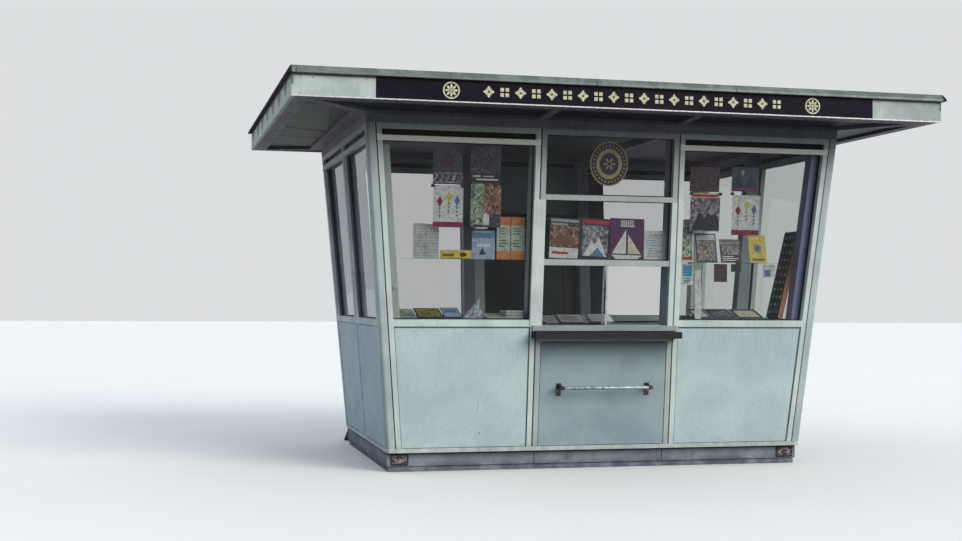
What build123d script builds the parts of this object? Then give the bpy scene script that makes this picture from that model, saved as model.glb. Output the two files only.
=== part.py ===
from build123d import *
import os
from dataclasses import dataclass
from math import atan2, ceil, degrees, sqrt

# Street kiosk: a glazed cabin whose four walls lean outward, on a low plinth, under a flat
# roof that overhangs all round. Millimetres, +Z up, origin on the ground under the middle
# of the cabin, serving side towards -Y.

# Plan of the cabin at sole level, and the outward run of its walls for each unit of height
body_width = 3308
body_depth = 2120
side_lean = 0.0873
front_lean = 0.098

# Levels of the walls, read on their outer face
footing_height = 42
sole_level = 145
sole_height = 32
sill_level = 1081
sill_height = 49
light_bar_level = 2430
light_bar_height = 40
vent_height = 43
head_level = 2556
head_height = 64

# Wall build-up, measured square to the wall
frame_depth = 70
post_size = 100
stile_width = 38
bay_gap = 10
corner_gap = 8
corner_strip = 38
corner_round = 25
mullion_place = 548
glass_setback = 48
glass_thickness = 5
panel_setback = 4
panel_thickness = 24
panel_joint = 4
panel_joint_depth = 8
vent_setback = 34
vent_thickness = 8

# Base
plinth_width = 120
plinth_inset_side = 8
plinth_inset_front = 50
footing_inset = 12
floor_thickness = 32
plate_length = 130
plate_height = 80
plate_thickness = 8
plate_rim = 10
plate_rim_height = 5
plate_end_margin = 30
prop_thickness = 24
prop_width = 50
prop_run = 290
prop_clearance = 2

# Serving bay
transom_level = 2030
transom_height = 40
shelf_bar_level = 1543
shelf_bar_height = 43
hatch_level = 1090
ledge_rail_level = 969
serving_sill_height = 37
serving_sill_length = 1150
serving_sill_proud = 22
ledge_top = 1045
ledge_thickness = 50
ledge_length = 1160
ledge_reach = 120
cover_strip_width = 94
cover_strip_thickness = 6
pane_thickness = 6
pane_setback = 22
pane_spacing = 20
pane_overlap = 15
track_depth = 7
track_clearance = 0.5
pane_lift = 2
rail_height = 630
rail_half_length = 370
rail_reach = 85
rail_diameter = 27
rail_plate_width = 36
rail_plate_height = 95
rail_plate_thickness = 6

# Counters and shelves behind the windows
counter_reach = 160
counter_thickness = 22
glass_shelf_level = 1577
glass_shelf_reach = 180
glass_shelf_thickness = 6
glass_shelf_clearance = 2

# Rear door
door_clearance = 4
door_thickness = 42
door_setback = 10
door_stile = 120
door_rail = 140
door_lock_level = 900
door_field_depth = 14
hinge_levels = (400, 1150, 1850)
hinge_radius = 9
hinge_length = 90
hinge_leaf = 26
hinge_leaf_thickness = 3
handle_level = 1080
handle_plate_width = 40
handle_plate_height = 220
handle_plate_thickness = 4
handle_neck_radius = 9
handle_neck_length = 38
handle_offset = 40
lever_radius = 8
lever_length = 130
lever_tail = 55

# Roof
roof_width = 4910
roof_depth = 3592
fascia_thickness = 25
fascia_rise = 2
fascia_height = 155
sign_length = 3754
board_joint = 3
end_board_first = 408
end_board_length = 485
edge_angle_height = 9
edge_angle_depth = 14
edge_angle_thickness = 3
soffit_rise = 29
soffit_member = 100
soffit_member_height = 26
side_member_reach = 100
rafter_width = 62
ceiling_beam_height = 50
soffit_board_thickness = 10
ceiling_thickness = 12
edge_trim_overhang = 30
edge_trim_width = 120
edge_lip_height = 16
edge_cant_height = 35
edge_cant_run = 22
roof_rise = 36

head_top = head_level + head_height
light_bar_top = light_bar_level + light_bar_height
vent_top = light_bar_top + vent_height
sill_top = sill_level + sill_height
frame_foot = sole_level + sole_height
wall_depth = frame_depth + post_size
pane_setbacks = (pane_setback, pane_setback + pane_spacing)
corner_inset = corner_round + corner_strip + corner_gap
fascia_level = head_top + soffit_rise + fascia_rise
roof_edge_level = fascia_level + fascia_height
top_width = body_width + 2 * side_lean * (head_top - sole_level)
top_depth = body_depth + 2 * front_lean * (head_top - sole_level)
soffit_width = roof_width - 2 * fascia_thickness
soffit_depth = roof_depth - 2 * fascia_thickness
trim = 30


@dataclass
class Wall:
    """One leaning wall, drawn as if it faced -Y and then turned about the vertical axis."""

    face: float
    lean: float
    reach: float
    spread: float
    turn: float

    @property
    def tilt(self):
        return sqrt(1 + self.lean**2)

    def plane(self, setback):
        normal = Vector(0, -1, -self.lean) / self.tilt
        return Plane(Vector(0, -self.face, sole_level) - normal * setback, (1, 0, 0), normal)

    def corner(self, side, inset):
        """A line that keeps a set distance from the neighbouring wall's face."""
        return lambda z: side * (self.reach + self.spread * (z - sole_level) - inset)


front = Wall(body_depth / 2, front_lean, body_width / 2, side_lean, 0)
right = Wall(body_width / 2, side_lean, body_depth / 2, front_lean, 90)
rear = Wall(body_depth / 2, front_lean, body_width / 2, side_lean, 180)
left = Wall(body_width / 2, side_lean, body_depth / 2, front_lean, 270)


def upright(place):
    """A vertical line in the plane of a wall."""
    return lambda z: place


def shifted(line, distance):
    return lambda z: line(z) + distance


def leaf(wall, start, end, low, high, setback, thickness):
    """A flat piece parallel to a wall's face, with its edges square to that face."""
    corners = [(start, low), (end, low), (end, high), (start, high)]
    outline = [(line(z), (z - sole_level) * wall.tilt) for line, z in corners]
    sheet = wall.plane(setback) * make_face(Polyline(*outline, close=True))
    return Rot(0, 0, wall.turn) * extrude(sheet, -thickness)


def level_cut(piece, low, high):
    """Trims a piece with level faces."""
    return piece & Pos(0, 0, (low + high) / 2) * Box(roof_width, roof_depth, high - low)


def standing_leaf(wall, start, end, low, high, setback, thickness):
    """A leaf whose foot and head are level, as where it stands on another piece."""
    return level_cut(leaf(wall, start, end, low - trim, high + trim, setback, thickness), low, high)


def body_block(low, high, inset=0, corner=0):
    """The solid inside the four leaning walls between two levels, drawn in square to each."""
    sections = []
    for z in (low, high):
        width = body_width + 2 * (side_lean * (z - sole_level) - inset * right.tilt)
        depth = body_depth + 2 * (front_lean * (z - sole_level) - inset * front.tilt)
        shape = RectangleRounded(width, depth, corner) if corner else Rectangle(width, depth)
        sections.append(Pos(0, 0, z) * shape)
    return loft(sections)


def corner_bar(side_x, side_y, near, size, low, high, corner=0):
    """A square bar at one corner of the cabin that leans with both of its walls."""
    rise = low - sole_level
    x = side_x * (body_width / 2 + side_lean * rise - near * right.tilt - size / 2)
    y = side_y * (body_depth / 2 + front_lean * rise - near * front.tilt - size / 2)
    section = Pos(x, y, low) * Rectangle(size, size)
    if corner:
        outermost = section.vertices().sort_by_distance((side_x * roof_width, side_y * roof_depth, low))[0]
        section = fillet(outermost, corner)
    slope = Vector(side_x * side_lean, side_y * front_lean, 1)
    return extrude(section, (high - low) * slope.length, slope)


def each_corner(make):
    return [make(side_x, side_y) for side_x in (-1, 1) for side_y in (-1, 1)]


def box(x, y, z):
    """A box given by its low and high limit along each axis."""
    size = Box(x[1] - x[0], y[1] - y[0], z[1] - z[0])
    return Pos((x[0] + x[1]) / 2, (y[0] + y[1]) / 2, (z[0] + z[1]) / 2) * size


def ring(width, depth, inner_width, inner_depth, low, height):
    profile = Rectangle(width, depth) - Rectangle(inner_width, inner_depth)
    return Pos(0, 0, low) * extrude(profile, height)


# Bays, each as the pair of lines that bound its frame
half_gap = bay_gap / 2
front_left_bay = (front.corner(-1, corner_inset), upright(-mullion_place - half_gap))
centre_bay = (upright(-mullion_place + half_gap), upright(mullion_place - half_gap))
front_right_bay = (upright(mullion_place + half_gap), front.corner(1, corner_inset))
side_bays = [
    (left.corner(-1, corner_inset), upright(-half_gap)),
    (upright(half_gap), left.corner(1, corner_inset)),
]


# The same bays as the spaces between the posts behind the frames
half_post = post_size / 2
left_post_bay = (front.corner(-1, wall_depth * right.tilt), upright(-mullion_place - half_post))
centre_post_bay = (upright(-mullion_place + half_post), upright(mullion_place - half_post))
right_post_bay = (upright(mullion_place + half_post), front.corner(1, wall_depth * right.tilt))


def inside(bay, margin=0):
    """The lines just inside a bay frame's stiles."""
    return shifted(bay[0], stile_width + margin), shifted(bay[1], -stile_width - margin)


def window_frame(wall, bay):
    """Stiles, top rail, light bar and sill rail of one window bay, open at its foot."""
    frame = standing_leaf(wall, *bay, frame_foot, head_level, 0, frame_depth)
    openings = [(frame_foot - trim, sill_level), (sill_top, light_bar_level), (light_bar_top, vent_top)]
    for low, high in openings:
        frame -= leaf(wall, *inside(bay), low, high, -trim, frame_depth + 2 * trim)
    return frame


def bay_panel(wall, bay, high=sill_level):
    """A flush lower panel with a sunk joint round its face."""
    back = leaf(wall, *inside(bay), frame_foot - trim, high, panel_setback + panel_joint_depth,
                panel_thickness - panel_joint_depth)
    face = leaf(wall, *inside(bay, panel_joint), frame_foot + panel_joint, high - panel_joint, panel_setback,
                panel_joint_depth)
    return level_cut(back, frame_foot, high + trim) + face


def pane(wall, bay, low, high):
    return leaf(wall, *inside(bay), low, high, glass_setback, glass_thickness)


def vent_board(wall, bay):
    return leaf(wall, *inside(bay), light_bar_top, vent_top, vent_setback, vent_thickness)


def hatch_pane(start, end, setback):
    """A sliding pane that stands in the lower groove and reaches into the upper one."""
    low = hatch_level - track_depth
    high = shelf_bar_level + track_depth - pane_lift
    return leaf(front, start, end, low, high, setback, pane_thickness)


def serving_frame():
    """The middle bay's frame: two fixed lights over a hatch with grooved tracks, and the ledge rail."""
    frame = standing_leaf(front, *centre_bay, frame_foot, head_level, 0, frame_depth)
    openings = [
        (frame_foot - trim, ledge_rail_level),
        (hatch_level, shelf_bar_level),
        (shelf_bar_level + shelf_bar_height, transom_level),
        (transom_level + transom_height, vent_top),
    ]
    for low, high in openings:
        frame -= leaf(front, *inside(centre_bay), low, high, -trim, frame_depth + 2 * trim)
    for setback in pane_setbacks:
        frame -= leaf(front, *inside(centre_bay), hatch_level - track_depth, shelf_bar_level + track_depth,
                      setback - track_clearance, pane_thickness + 2 * track_clearance)
    return frame


def door_frame():
    """The rear middle bay's frame: a doorway with a closed panel over it."""
    frame = standing_leaf(rear, *centre_bay, frame_foot, head_level, 0, frame_depth)
    for low, high in ((frame_foot - trim, transom_level), (transom_level + transom_height, vent_top)):
        frame -= leaf(rear, *inside(centre_bay), low, high, -trim, frame_depth + 2 * trim)
    return frame


def door_leaf():
    """A framed door with a sunk field over and under its lock rail, on both faces."""
    low = frame_foot + door_clearance
    high = transom_level - door_clearance
    lock_low = door_lock_level - door_rail / 2
    lock_high = door_lock_level + door_rail / 2
    fields = inside(centre_bay, door_clearance + door_stile)
    door = leaf(rear, *inside(centre_bay, door_clearance), low, high, door_setback, door_thickness)
    for field_low, field_high in ((low + door_rail, lock_low), (lock_high, high - door_rail)):
        for setback in (door_setback, door_setback + door_thickness - door_field_depth):
            door -= leaf(rear, *fields, field_low, field_high, setback, door_field_depth)
    return door


def door_head_panel():
    low = transom_level + transom_height
    return leaf(rear, *inside(centre_bay), low, vent_top, panel_setback, panel_thickness)


def cover_strip(x):
    """A flat strip over the joint between two front frames."""
    start, end = upright(x - cover_strip_width / 2), upright(x + cover_strip_width / 2)
    return leaf(front, start, end, hatch_level, transom_level, -cover_strip_thickness, cover_strip_thickness)


def wall_spot(wall, u, z, setback):
    """A location on a wall: its Z axis points out of the wall, its Y axis up along it."""
    return Rot(0, 0, wall.turn) * wall.plane(setback).location * Pos(u, (z - sole_level) * wall.tilt, 0)


def door_hinge(z):
    """A butt hinge: one leaf on the frame's face, one stepped down to the door, under a knuckle."""
    edge = mullion_place - half_gap - stile_width - door_clearance / 2
    knuckle = Pos(0, 0, hinge_radius) * Rot(90, 0, 0) * Cylinder(hinge_radius, hinge_length)
    frame_side = Pos(hinge_leaf / 2, 0, hinge_leaf_thickness / 2)
    frame_side = frame_side * Box(hinge_leaf, hinge_length, hinge_leaf_thickness)
    door_side_height = hinge_leaf_thickness + door_setback
    door_side = Pos(-hinge_leaf / 2, 0, door_side_height / 2 - door_setback)
    door_side = door_side * Box(hinge_leaf, hinge_length, door_side_height)
    frame_stile = Pos(door_clearance / 2 + hinge_leaf / 2, 0, -door_setback / 2)
    frame_stile = frame_stile * Box(hinge_leaf, hinge_length, door_setback)
    return wall_spot(rear, edge, z, 0) * (knuckle + frame_side + door_side - frame_stile)


def door_handle():
    """A lever on a tall plate, pointing towards the hinges."""
    edge = -(mullion_place - half_gap - stile_width - door_clearance - door_stile / 2)
    plate = Pos(0, 0, handle_plate_thickness / 2)
    plate = plate * Box(handle_plate_width, handle_plate_height, handle_plate_thickness)
    lever_place = handle_plate_thickness + handle_neck_length
    neck = Pos(0, handle_offset, lever_place / 2) * Cylinder(handle_neck_radius, lever_place)
    lever = Pos(lever_tail, handle_offset, lever_place) * Rot(0, 90, 0) * Cylinder(lever_radius, lever_length)
    return wall_spot(rear, edge, handle_level, door_setback) * (plate + neck + lever)


def corner_plate(side_x, side_y):
    """A steel plate with a raised rim on the plinth's long face, near its end."""
    x = side_x * (body_width / 2 - plinth_inset_side - plate_end_margin - plate_length / 2)
    y = side_y * (body_depth / 2 - plinth_inset_front)
    z = footing_height + (sole_level - footing_height) / 2
    plate = Box(plate_length, plate_thickness, plate_height)
    rim = Box(plate_length, plate_rim_height, plate_height)
    rim -= Box(plate_length - 2 * plate_rim, plate_rim_height, plate_height - 2 * plate_rim)
    rim = Pos(0, side_y * (plate_thickness + plate_rim_height) / 2, 0) * rim
    return Pos(x, y + side_y * plate_thickness / 2, z) * (plate + rim)


def base_prop(side):
    """A flat bar that slopes from under the rear end of the sole down and out to the ground."""
    slope = Vector(0, prop_run, -sole_level)
    level_width = prop_thickness * slope.length / sole_level
    near = body_depth / 2 - plinth_inset_front + plate_thickness + plate_rim_height + prop_clearance
    x = side * (body_width / 2 - corner_round - prop_width / 2)
    middle = Pos(x, near + (level_width + prop_run) / 2, sole_level / 2)
    bar = Box(prop_width, 2 * slope.length, prop_thickness)
    return level_cut(middle * Rot(degrees(atan2(slope.Z, slope.Y)), 0, 0) * bar, 0, sole_level)


def handrail():
    """A low rail across the serving panel on two bent plates."""
    rail = wall_spot(front, 0, rail_height, 0) * Pos(0, 0, rail_reach)
    rail = rail * Rot(0, 90, 0) * Cylinder(rail_diameter / 2, 2 * rail_half_length)
    piece = Part() + rail
    for side in (-1, 1):
        place = wall_spot(front, side * (rail_half_length - rail_plate_width / 2), rail_height, panel_setback)
        foot = Pos(0, -rail_plate_height / 4, rail_plate_thickness / 2)
        foot = foot * Box(rail_plate_width, rail_plate_height, rail_plate_thickness)
        arm_reach = rail_reach + panel_setback
        arm = Pos(0, 0, arm_reach / 2) * Box(rail_plate_thickness, rail_plate_width, arm_reach)
        piece += place * (foot + arm)
    return piece


def counter(bay, top):
    """A board behind a front window, from the frame's back to its free edge, between posts."""
    start, end = bay
    level = top + front_lean * frame_depth
    low = level - counter_thickness
    near = -(body_depth / 2 + front_lean * (level - sole_level))
    board = box((start(low), end(low)), (near, near + wall_depth + counter_reach), (low, level))
    return board & body_block(sole_level, head_level, frame_depth * front.tilt)


def glass_shelf(bay):
    """A shelf of plate glass held between the posts, just clear of the window."""
    start, end = bay
    low = glass_shelf_level
    near = -(body_depth / 2 + front_lean * (low - sole_level))
    near += (glass_setback + glass_thickness) * front.tilt + glass_shelf_clearance
    return box((start(low), end(low)), (near, near + glass_shelf_reach), (low, low + glass_shelf_thickness))


def roof_body(lift):
    """The solid above the four soffit slopes, which rise from the walls to the fascia."""
    low = head_top + lift
    high = low + soffit_rise
    faces = []
    for outer, inner in ((soffit_width, top_width), (soffit_depth, top_depth)):
        outline = Polyline((-outer / 2, roof_edge_level), (-outer / 2, high), (-inner / 2, low),
                           (inner / 2, low), (outer / 2, high), (outer / 2, roof_edge_level), close=True)
        faces.append(make_face(outline))
    along = extrude(Plane.XZ * faces[0], soffit_depth / 2, both=True)
    across = extrude(Plane.YZ * faces[1], soffit_width / 2, both=True)
    return along & across


def soffit_layer(lift, thickness):
    """A layer of even height that follows the soffit slopes."""
    return roof_body(lift) - roof_body(lift + thickness)


def soffit_bar(start, end, width):
    """A bar between two points in plan, tall enough to be cut to the soffit slopes."""
    run = end - start
    middle = (start + end) / 2
    height = soffit_rise + soffit_member_height
    turn = degrees(atan2(run.Y, run.X))
    return Pos(middle.X, middle.Y, head_top + height / 2) * Rot(0, 0, turn) * Box(run.length, width, height)


def soffit_frame():
    """The open lattice under the overhang: edge ring, ring over the walls, hips and rafters."""
    height = soffit_rise + soffit_member_height
    edge = ring(soffit_width, soffit_depth, soffit_width - 2 * soffit_member,
                soffit_depth - 2 * soffit_member, head_top, height)
    over_wall = ring(top_width + 2 * side_member_reach, top_depth, top_width - 2 * soffit_member,
                     top_depth - 2 * soffit_member, head_top, height)
    lattice = edge + over_wall
    middle = soffit_member / 2
    for side_x, side_y in ((-1, -1), (-1, 1), (1, -1), (1, 1)):
        wall_corner = Vector(side_x * (top_width / 2 - middle), side_y * (top_depth / 2 - middle))
        roof_corner = Vector(side_x * (soffit_width / 2 - middle), side_y * (soffit_depth / 2 - middle))
        lattice += soffit_bar(wall_corner, roof_corner, soffit_member)
    for x in (-mullion_place, mullion_place):
        for side in (-1, 1):
            wall_end = Vector(x, side * (top_depth / 2 - middle))
            lattice += soffit_bar(wall_end, Vector(x, side * (soffit_depth / 2 - middle)), rafter_width)
    return lattice & soffit_layer(0, soffit_member_height)


def head_frame():
    """The beams over the walls, with two ceiling beams in line with the mullions."""
    frame = body_block(head_level, head_top, 0, corner_round) - body_block(head_level, head_top, wall_depth)
    ceiling_level = head_top - ceiling_thickness
    reach = top_depth / 2 - wall_depth
    for x in (-mullion_place, mullion_place):
        beam = box((x - rafter_width / 2, x + rafter_width / 2), (-reach, reach),
                   (ceiling_level - ceiling_beam_height, ceiling_level))
        frame += beam
    return frame


def hipped_cap(width, depth, low, rise):
    """A hipped solid over a rectangle, with its ridge along X."""
    long_profile = Polyline((-width / 2, 0), (width / 2, 0), ((width - depth) / 2, rise),
                            ((depth - width) / 2, rise), close=True)
    cross_profile = Polyline((-depth / 2, 0), (depth / 2, 0), (0, rise), close=True)
    along = extrude(Plane.XZ * make_face(long_profile), depth / 2, both=True)
    across = extrude(Plane.YZ * make_face(cross_profile), width / 2, both=True)
    return Pos(0, 0, low) * (along & across)


trim_width = roof_width + 2 * edge_trim_overhang
trim_depth = roof_depth + 2 * edge_trim_overhang
trim_top = roof_edge_level + edge_lip_height + edge_cant_height
field_width = trim_width - 2 * edge_trim_width
field_depth = trim_depth - 2 * edge_trim_width


def roof_field():
    """The level block inside the edge trim."""
    height = trim_top - roof_edge_level
    return Pos(0, 0, roof_edge_level + height / 2) * Box(field_width, field_depth, height)


def roof_edge_trim():
    """The folded sheet round the roof: an upright lip under a canted edge."""
    lip = extrude(Rectangle(trim_width, trim_depth), edge_lip_height)
    cant = extrude(Pos(0, 0, edge_lip_height) * Rectangle(trim_width, trim_depth), edge_cant_height,
                   taper=degrees(atan2(edge_cant_run, edge_cant_height)))
    return Pos(0, 0, roof_edge_level) * (lip + cant) - roof_field()


def roof_covering():
    """The covering inside the edge trim, rising in four slopes to a ridge."""
    return roof_field() + hipped_cap(field_width, field_depth, trim_top, roof_rise)


def end_boards(side):
    """The row of white boards along one end of the roof."""
    count = ceil((roof_depth - end_board_first) / end_board_length)
    front_end = -roof_depth / 2
    starts = [front_end] + [front_end + end_board_first + n * end_board_length for n in range(count)]
    limits = zip(starts, starts[1:] + [roof_depth / 2 + board_joint])
    x = sorted((side * (roof_width / 2 - fascia_thickness), side * roof_width / 2))
    return [box(x, (low, high - board_joint), (fascia_level, roof_edge_level)) for low, high in limits]


def fascia_boards():
    """The white boards: both ends, the back, and the front on both sides of the sign."""
    limit = roof_width / 2 - fascia_thickness - board_joint
    z = (fascia_level, roof_edge_level)
    rear_y = (roof_depth / 2 - fascia_thickness, roof_depth / 2)
    front_y = (-roof_depth / 2, -roof_depth / 2 + fascia_thickness)
    start = sign_length / 2 + board_joint
    front_pair = [box(x, front_y, z) for x in ((-limit, -start), (start, limit))]
    return end_boards(-1) + end_boards(1) + [box((-limit, limit), rear_y, z)] + front_pair


def sign_edge_angle():
    """A thin angle that wraps the lower front edge of the fascia."""
    front_y = -roof_depth / 2
    low = fascia_level - edge_angle_thickness
    x = (-roof_width / 2, roof_width / 2)
    upright_leg = box(x, (front_y - edge_angle_thickness, front_y), (low, low + edge_angle_height))
    flat_leg = box(x, (front_y - edge_angle_thickness, front_y - edge_angle_thickness + edge_angle_depth),
                   (low, fascia_level))
    return upright_leg + flat_leg


window_bays = [(front, front_left_bay), (front, front_right_bay)]
rear_bays = [(rear, front_left_bay), (rear, front_right_bay)]
left_bays = [(left, bay) for bay in side_bays]
right_bays = [(right, bay) for bay in side_bays]


def panes(bays):
    return [pane(wall, bay, sill_top, light_bar_level) for wall, bay in bays]


post_spots = [
    (front, -mullion_place), (front, mullion_place),
    (rear, -mullion_place), (rear, mullion_place),
    (left, 0), (right, 0),
]
hatch_left = inside(centre_bay)[0]
plinth_length = body_width - 2 * plinth_inset_side
plinth_breadth = body_depth - 2 * plinth_inset_front
plinth_inner = (plinth_length - 2 * plinth_width, plinth_breadth - 2 * plinth_width)
ledge_back = -(body_depth / 2 + front_lean * (ledge_top - sole_level))

pieces = {
    "footing": [ring(plinth_length - 2 * footing_inset, plinth_breadth - 2 * footing_inset, *plinth_inner,
                     0, footing_height)],
    "plinth": [ring(plinth_length, plinth_breadth, *plinth_inner, footing_height,
                    sole_level - footing_height)],
    "plinth_corner_plates": each_corner(corner_plate),
    "rear_base_props": [base_prop(-1), base_prop(1)],
    "sole_frame": [body_block(sole_level, frame_foot, 0, corner_round)
                   - body_block(sole_level, frame_foot, wall_depth)],
    "floor": [body_block(sole_level, sole_level + floor_thickness, wall_depth)],
    "corner_posts": each_corner(
        lambda x, y: corner_bar(x, y, frame_depth, post_size, frame_foot, head_level)),
    "corner_trims": each_corner(
        lambda x, y: corner_bar(x, y, 0, corner_round + corner_strip, frame_foot, head_level, corner_round)),
    "mullion_posts": [
        standing_leaf(wall, upright(u - half_post), upright(u + half_post), frame_foot, head_level,
                      frame_depth, post_size) for wall, u in post_spots],
    "front_left_frame": [window_frame(front, front_left_bay)],
    "front_centre_frame": [serving_frame()],
    "front_right_frame": [window_frame(front, front_right_bay)],
    "left_wall_frames": [window_frame(wall, bay) for wall, bay in left_bays],
    "right_wall_frames": [window_frame(wall, bay) for wall, bay in right_bays],
    "rear_wall_frames": [window_frame(wall, bay) for wall, bay in rear_bays],
    "rear_door_frame": [door_frame()],
    "rear_door": [door_leaf()],
    "rear_door_fittings": [door_hinge(z) for z in hinge_levels] + [door_handle()],
    "front_panels": [bay_panel(wall, bay) for wall, bay in window_bays],
    "front_centre_panel": [bay_panel(front, centre_bay, ledge_rail_level)],
    "left_wall_panels": [bay_panel(wall, bay) for wall, bay in left_bays],
    "right_wall_panels": [bay_panel(wall, bay) for wall, bay in right_bays],
    "rear_wall_panels": [bay_panel(wall, bay) for wall, bay in rear_bays] + [door_head_panel()],
    "front_window_glass": panes(window_bays) + [
        pane(front, centre_bay, shelf_bar_level + shelf_bar_height, transom_level),
        pane(front, centre_bay, transom_level + transom_height, vent_top)],
    "sliding_panes": [hatch_pane(hatch_left, upright(pane_overlap + pane_setback - setback), setback)
                      for setback in pane_setbacks],
    "left_wall_glass": panes(left_bays),
    "right_wall_glass": panes(right_bays),
    "rear_wall_glass": panes(rear_bays),
    "vent_boards": [vent_board(wall, bay) for wall, bay in window_bays + left_bays + right_bays + rear_bays],
    "hatch_cover_strips": [cover_strip(x) for x in (-mullion_place, mullion_place)],
    "serving_sill": [
        leaf(front, upright(-serving_sill_length / 2), upright(serving_sill_length / 2),
             hatch_level - serving_sill_height, hatch_level, -serving_sill_proud, serving_sill_proud)],
    "serving_ledge": [
        box((-ledge_length / 2, ledge_length / 2), (ledge_back - ledge_reach, 0),
            (ledge_top - ledge_thickness, ledge_top)) - body_block(sole_level, head_level)],
    "handrail": [handrail()],
    "window_counters": [counter(bay, level) for bay, level in (
        (left_post_bay, sill_top), (centre_post_bay, hatch_level), (right_post_bay, sill_top))],
    "glass_shelves": [glass_shelf(bay) for bay in (left_post_bay, right_post_bay)],
    "head_frame": [head_frame()],
    "ceiling": [body_block(head_top - ceiling_thickness, head_top, wall_depth)],
    "soffit_frame": [soffit_frame()],
    "soffit_boards": [soffit_layer(soffit_member_height, soffit_board_thickness)],
    "roof_deck": [roof_body(soffit_member_height + soffit_board_thickness)],
    "fascia_boards": fascia_boards(),
    "sign_board": [box((-sign_length / 2, sign_length / 2), (-roof_depth / 2, -soffit_depth / 2),
                       (fascia_level, roof_edge_level))],
    "sign_edge_angle": [sign_edge_angle()],
    "roof_edge_trim": [roof_edge_trim()],
    "roof_covering": [roof_covering()],
}

os.makedirs("parts", exist_ok=True)
for name, solids in pieces.items():
    export_step(Compound([solid for piece in solids for solid in piece.solids()]), f"parts/{name}.step")
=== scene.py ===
import math
import random

import bmesh
import bpy
from mathutils import Matrix, Vector


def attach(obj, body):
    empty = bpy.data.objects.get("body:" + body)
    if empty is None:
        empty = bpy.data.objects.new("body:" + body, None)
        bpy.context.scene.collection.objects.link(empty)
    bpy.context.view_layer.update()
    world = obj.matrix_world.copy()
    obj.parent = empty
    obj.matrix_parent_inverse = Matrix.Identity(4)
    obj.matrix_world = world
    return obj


# The looks of a street kiosk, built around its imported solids. Metres, +Z up, serving side
# towards -Y. Colours in 0 to 255 are display values, those in 0 to 1 are linear.

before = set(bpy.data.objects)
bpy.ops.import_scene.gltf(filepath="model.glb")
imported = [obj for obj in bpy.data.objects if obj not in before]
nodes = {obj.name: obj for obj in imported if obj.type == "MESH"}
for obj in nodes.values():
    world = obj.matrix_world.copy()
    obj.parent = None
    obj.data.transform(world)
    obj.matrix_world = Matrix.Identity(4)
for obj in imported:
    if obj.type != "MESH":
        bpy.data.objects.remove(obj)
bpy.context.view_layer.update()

# The kiosk's own sizes that the finishes and the added pieces take their places from
body_width = 3.308
body_depth = 2.120
side_lean = 0.0873
front_lean = 0.098
sole_level = 0.145
sill_level = 1.081
sill_top = 1.130
light_bar_level = 2.430
shelf_bar_level = 1.543
shelf_bar_top = 1.586
transom_level = 2.030
transom_top = 2.070
vent_top = 2.513
hatch_level = 1.090
stile = 0.038
half_gap = 0.005
mullion_place = 0.548
corner_inset = 0.071
glass_setback = 0.048
glass_back = 0.053
fascia_front = 1.796
fascia_end = 2.455
fascia_level = 2.651
fascia_pitch = 0.485
fascia_first_joint = 0.408
roof_edge_level = 2.806


class Wall:
    """A leaning wall: places on it are given along it, by level, and outward from its face."""

    def __init__(self, face, lean, reach, spread, turn):
        self.reach, self.spread = reach, spread
        spin = Matrix.Rotation(math.radians(turn), 3, "Z")
        self.tilt = math.hypot(1, lean)
        self.right = spin @ Vector((1, 0, 0))
        self.out = spin @ (Vector((0, -1, -lean)) / self.tilt)
        self.up = self.out.cross(self.right)
        self.foot = spin @ Vector((0, -face, sole_level))

    def spot(self, u, z, out=0.0):
        rise = (z - sole_level) * self.tilt
        return self.foot + self.right * u + self.up * rise + self.out * out

    def opening(self, start, end, low, high, margin):
        """Corners of a bay's opening; a start or end of None is the bay's sloping outer stile."""
        points = []
        for z, at_end in ((low + margin, False), (low + margin, True), (high - margin, True), (high - margin, False)):
            place = end if at_end else start
            if place is None:
                side = 1 if at_end else -1
                corner = side * (self.reach + self.spread * (z - sole_level) - corner_inset)
                place = corner - side * stile
            points.append((place + (-margin if at_end else margin), z))
        return points


front = Wall(body_depth / 2, front_lean, body_width / 2, side_lean, 0)
right = Wall(body_width / 2, side_lean, body_depth / 2, front_lean, 90)
rear = Wall(body_depth / 2, front_lean, body_width / 2, side_lean, 180)
left = Wall(body_width / 2, side_lean, body_depth / 2, front_lean, 270)


# Materials
def linear(colour):
    """A display colour as the values that shaders take."""
    parts = [part / 255 for part in colour]
    return tuple(part / 12.92 if part <= 0.04045 else ((part + 0.055) / 1.055) ** 2.4 for part in parts)


class Nodes:
    """Short ways to add and join shader nodes."""

    def __init__(self, tree):
        self.tree = tree

    def plug(self, socket, value):
        if isinstance(value, bpy.types.NodeSocket):
            self.tree.links.new(value, socket)
        elif socket.type == "RGBA":
            socket.default_value = (*value, 1)
        else:
            socket.default_value = value

    def node(self, kind, inputs=(), output=0, **settings):
        made = self.tree.nodes.new("ShaderNode" + kind)
        for key, value in settings.items():
            setattr(made, key, value)
        for key, value in dict(inputs).items():
            self.plug(made.inputs[key], value)
        return made.outputs[output]

    def calc(self, operation, first, second=0.0, clamp=False):
        return self.node("Math", {0: first, 1: second}, operation=operation, use_clamp=clamp)

    def span(self, value, low, high, to_low=0.0, to_high=1.0):
        return self.node("MapRange", {"Value": value, "From Min": low, "From Max": high, "To Min": to_low,
                                      "To Max": to_high}, interpolation_type="SMOOTHSTEP")

    def seen(self):
        """1 for what the camera sees, in mirrors and through glass too, and 0 for light."""
        rays = self.tree.nodes.new("ShaderNodeLightPath").outputs
        share = self.calc("MAXIMUM", rays["Is Camera Ray"], rays["Is Glossy Ray"])
        return self.calc("MAXIMUM", share, rays["Is Transmission Ray"])


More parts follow.
